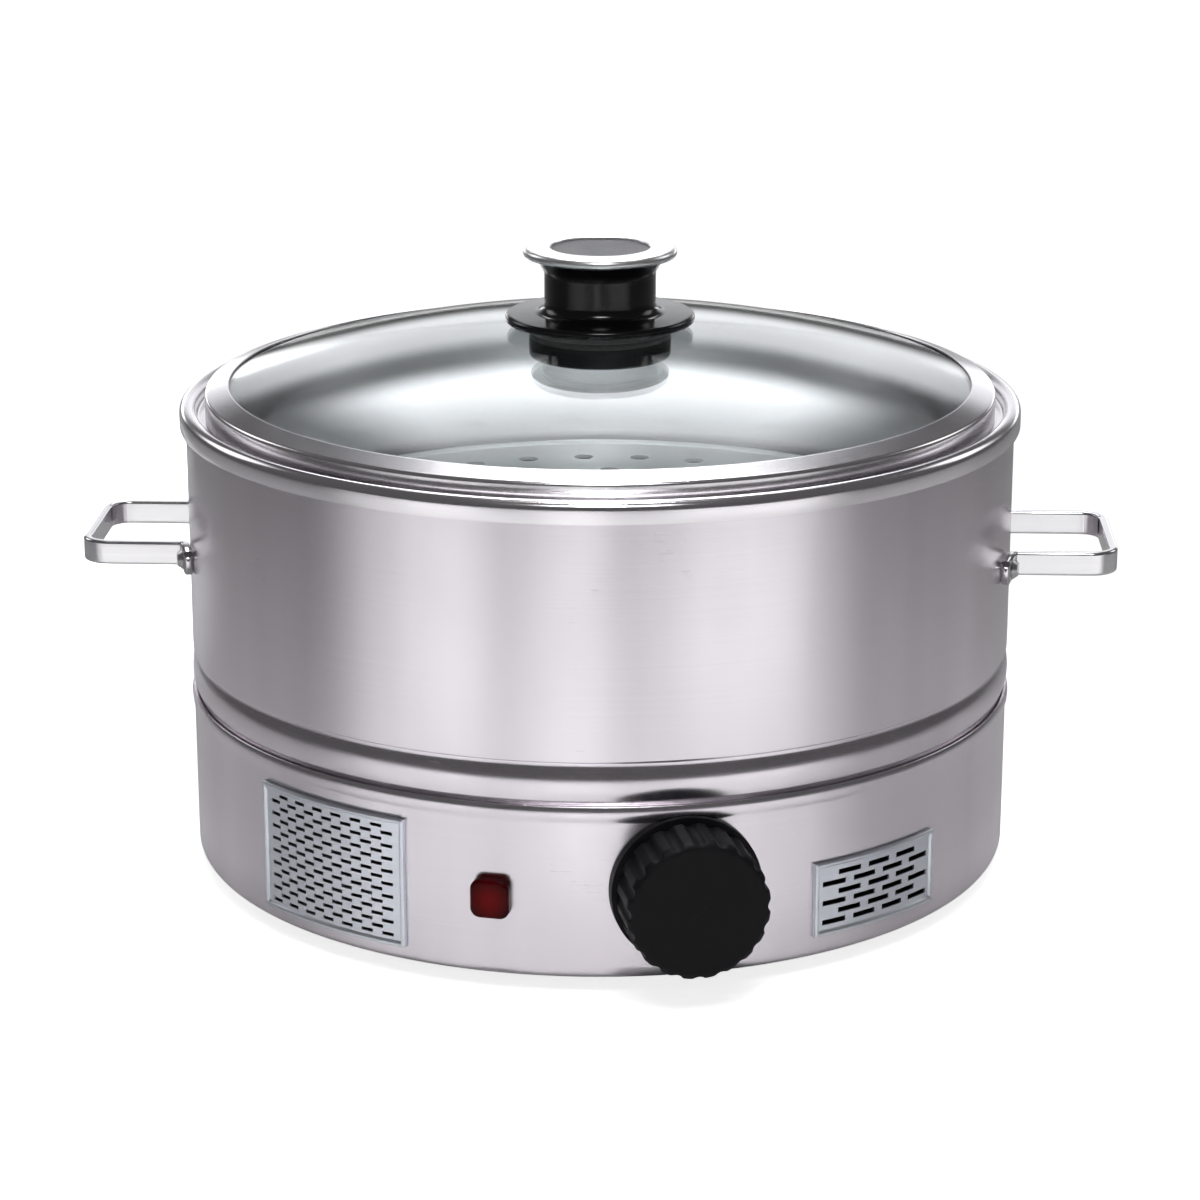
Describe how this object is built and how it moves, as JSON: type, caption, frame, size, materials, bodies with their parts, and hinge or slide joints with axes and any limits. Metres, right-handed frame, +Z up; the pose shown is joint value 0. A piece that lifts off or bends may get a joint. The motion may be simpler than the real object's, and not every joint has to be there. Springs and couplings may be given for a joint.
{
  "type": "electric food steamer",
  "caption": "Round stainless electric steamer: heated base with thermostat knob and pilot lamp, side handles, lift-out steaming tray and a domed glass lid with a knob.",
  "frame": {"origin": "on the pot's axis at the level of the table that the feet stand on", "axes": "+Z up along the pot's axis, -Y to the front where the controls are, +X to the right handle"},
  "size_m": [0.345, 0.3021, 0.2098],
  "materials": {
    "skirt_steel": "polished stainless sheet",
    "drum_steel": "polished stainless sheet, faintly streaked",
    "pot_steel": "bright stainless, spun",
    "handle_steel": "mirror-polished stainless strap",
    "vent_steel": "pale satin sheet with pierced slots",
    "plated_steel": "zinc-plated",
    "fastener_steel": "zinc-plated screws, studs and nuts",
    "foot_rubber": "matt",
    "plate_aluminium": "cast",
    "element_steel": "heat-darkened sheath",
    "insulator": "ivory ceramic, unglazed",
    "phenolic": "dark moulded",
    "copper": "drawn copper",
    "knob_plastic": "black moulded, soft gloss",
    "lid_plastic": "black moulded, heat-proof",
    "cap_steel": "polished disc with a spun recess",
    "lamp_red": "clear red lens, lit",
    "lamp_white": "white moulded",
    "inlet_plastic": "black moulded",
    "pin_brass": "nickel over brass",
    "wire_brown": "brown sleeve",
    "wire_red": "red sleeve",
    "wire_blue": "blue sleeve",
    "wire_grey": "grey sleeve",
    "wire_green": "green and yellow sleeve",
    "lid_glass": "clear tempered, polished",
    "ring_steel": "polished rolled band",
    "gasket": "white silicone",
    "tray_steel": "bright pierced sheet"
  },
  "bodies": {
    "base": {"base_shell": "skirt_steel", "drum_shell": "drum_steel", "inner_pot": "pot_steel", "bottom_plate": "plated_steel", "bottom_screws": "fastener_steel", "foot_front_left": "foot_rubber", "foot_front_right": "foot_rubber", "foot_rear_left": "foot_rubber", "foot_rear_right": "foot_rubber", "foot_screws": "fastener_steel", "left_handle": "handle_steel", "right_handle": "handle_steel", "handle_rivets": "handle_steel", "left_vent_grille": "vent_steel", "right_vent_grille": "vent_steel", "heating_plate": "plate_aluminium", "heating_element": "element_steel", "terminal_insulators": "insulator", "heater_clamp": "plated_steel", "heater_studs": "fastener_steel", "stud_nuts": "fastener_steel", "shield_spacers": "plated_steel", "heat_shield": "plated_steel", "thermal_cutout": "phenolic", "thermostat_body": "phenolic", "thermostat_bracket": "plated_steel", "thermostat_screws": "fastener_steel", "sensor_bulb": "copper", "sensor_clip": "plated_steel", "sensor_capillary": "copper", "knob_bezel": "knob_plastic", "lamp_lens": "lamp_red", "lamp_body": "lamp_white", "lamp_clip": "plated_steel", "inlet_housing": "inlet_plastic", "inlet_pins": "pin_brass", "inlet_screws": "fastener_steel", "earth_screw": "fastener_steel", "live_wire": "wire_brown", "link_wire": "wire_brown", "load_wire": "wire_red", "neutral_wire": "wire_blue", "lamp_leads": "wire_grey", "earth_wire": "wire_green"},
    "knob": {"control_knob": "knob_plastic", "thermostat_shaft": "fastener_steel"},
    "lid": {"lid_glass": "lid_glass", "lid_ring": "ring_steel", "lid_knob": "lid_plastic", "lid_knob_cap": "cap_steel", "lid_knob_insert": "cap_steel", "lid_gasket": "gasket", "lid_boss": "lid_plastic", "lid_screw": "fastener_steel"},
    "tray": {"steam_tray": "tray_steel", "tray_legs": "tray_steel"}
  },
  "joints": [
    {"name": "lid_lift", "type": "slide", "parent": "base", "child": "lid", "axis": [0, 0, 1], "range_m": [0, 0.2]},
    {"name": "tray_lift", "type": "slide", "parent": "base", "child": "tray", "axis": [0, 0, 1], "range_m": [0, 0.04]},
    {"name": "knob_turn", "type": "hinge", "parent": "base", "child": "knob", "pos_m": [0.03222, -0.13419, 0.036], "axis": [-0.2334, 0.9724, 0], "range_deg": [0, 270]}
  ]
}
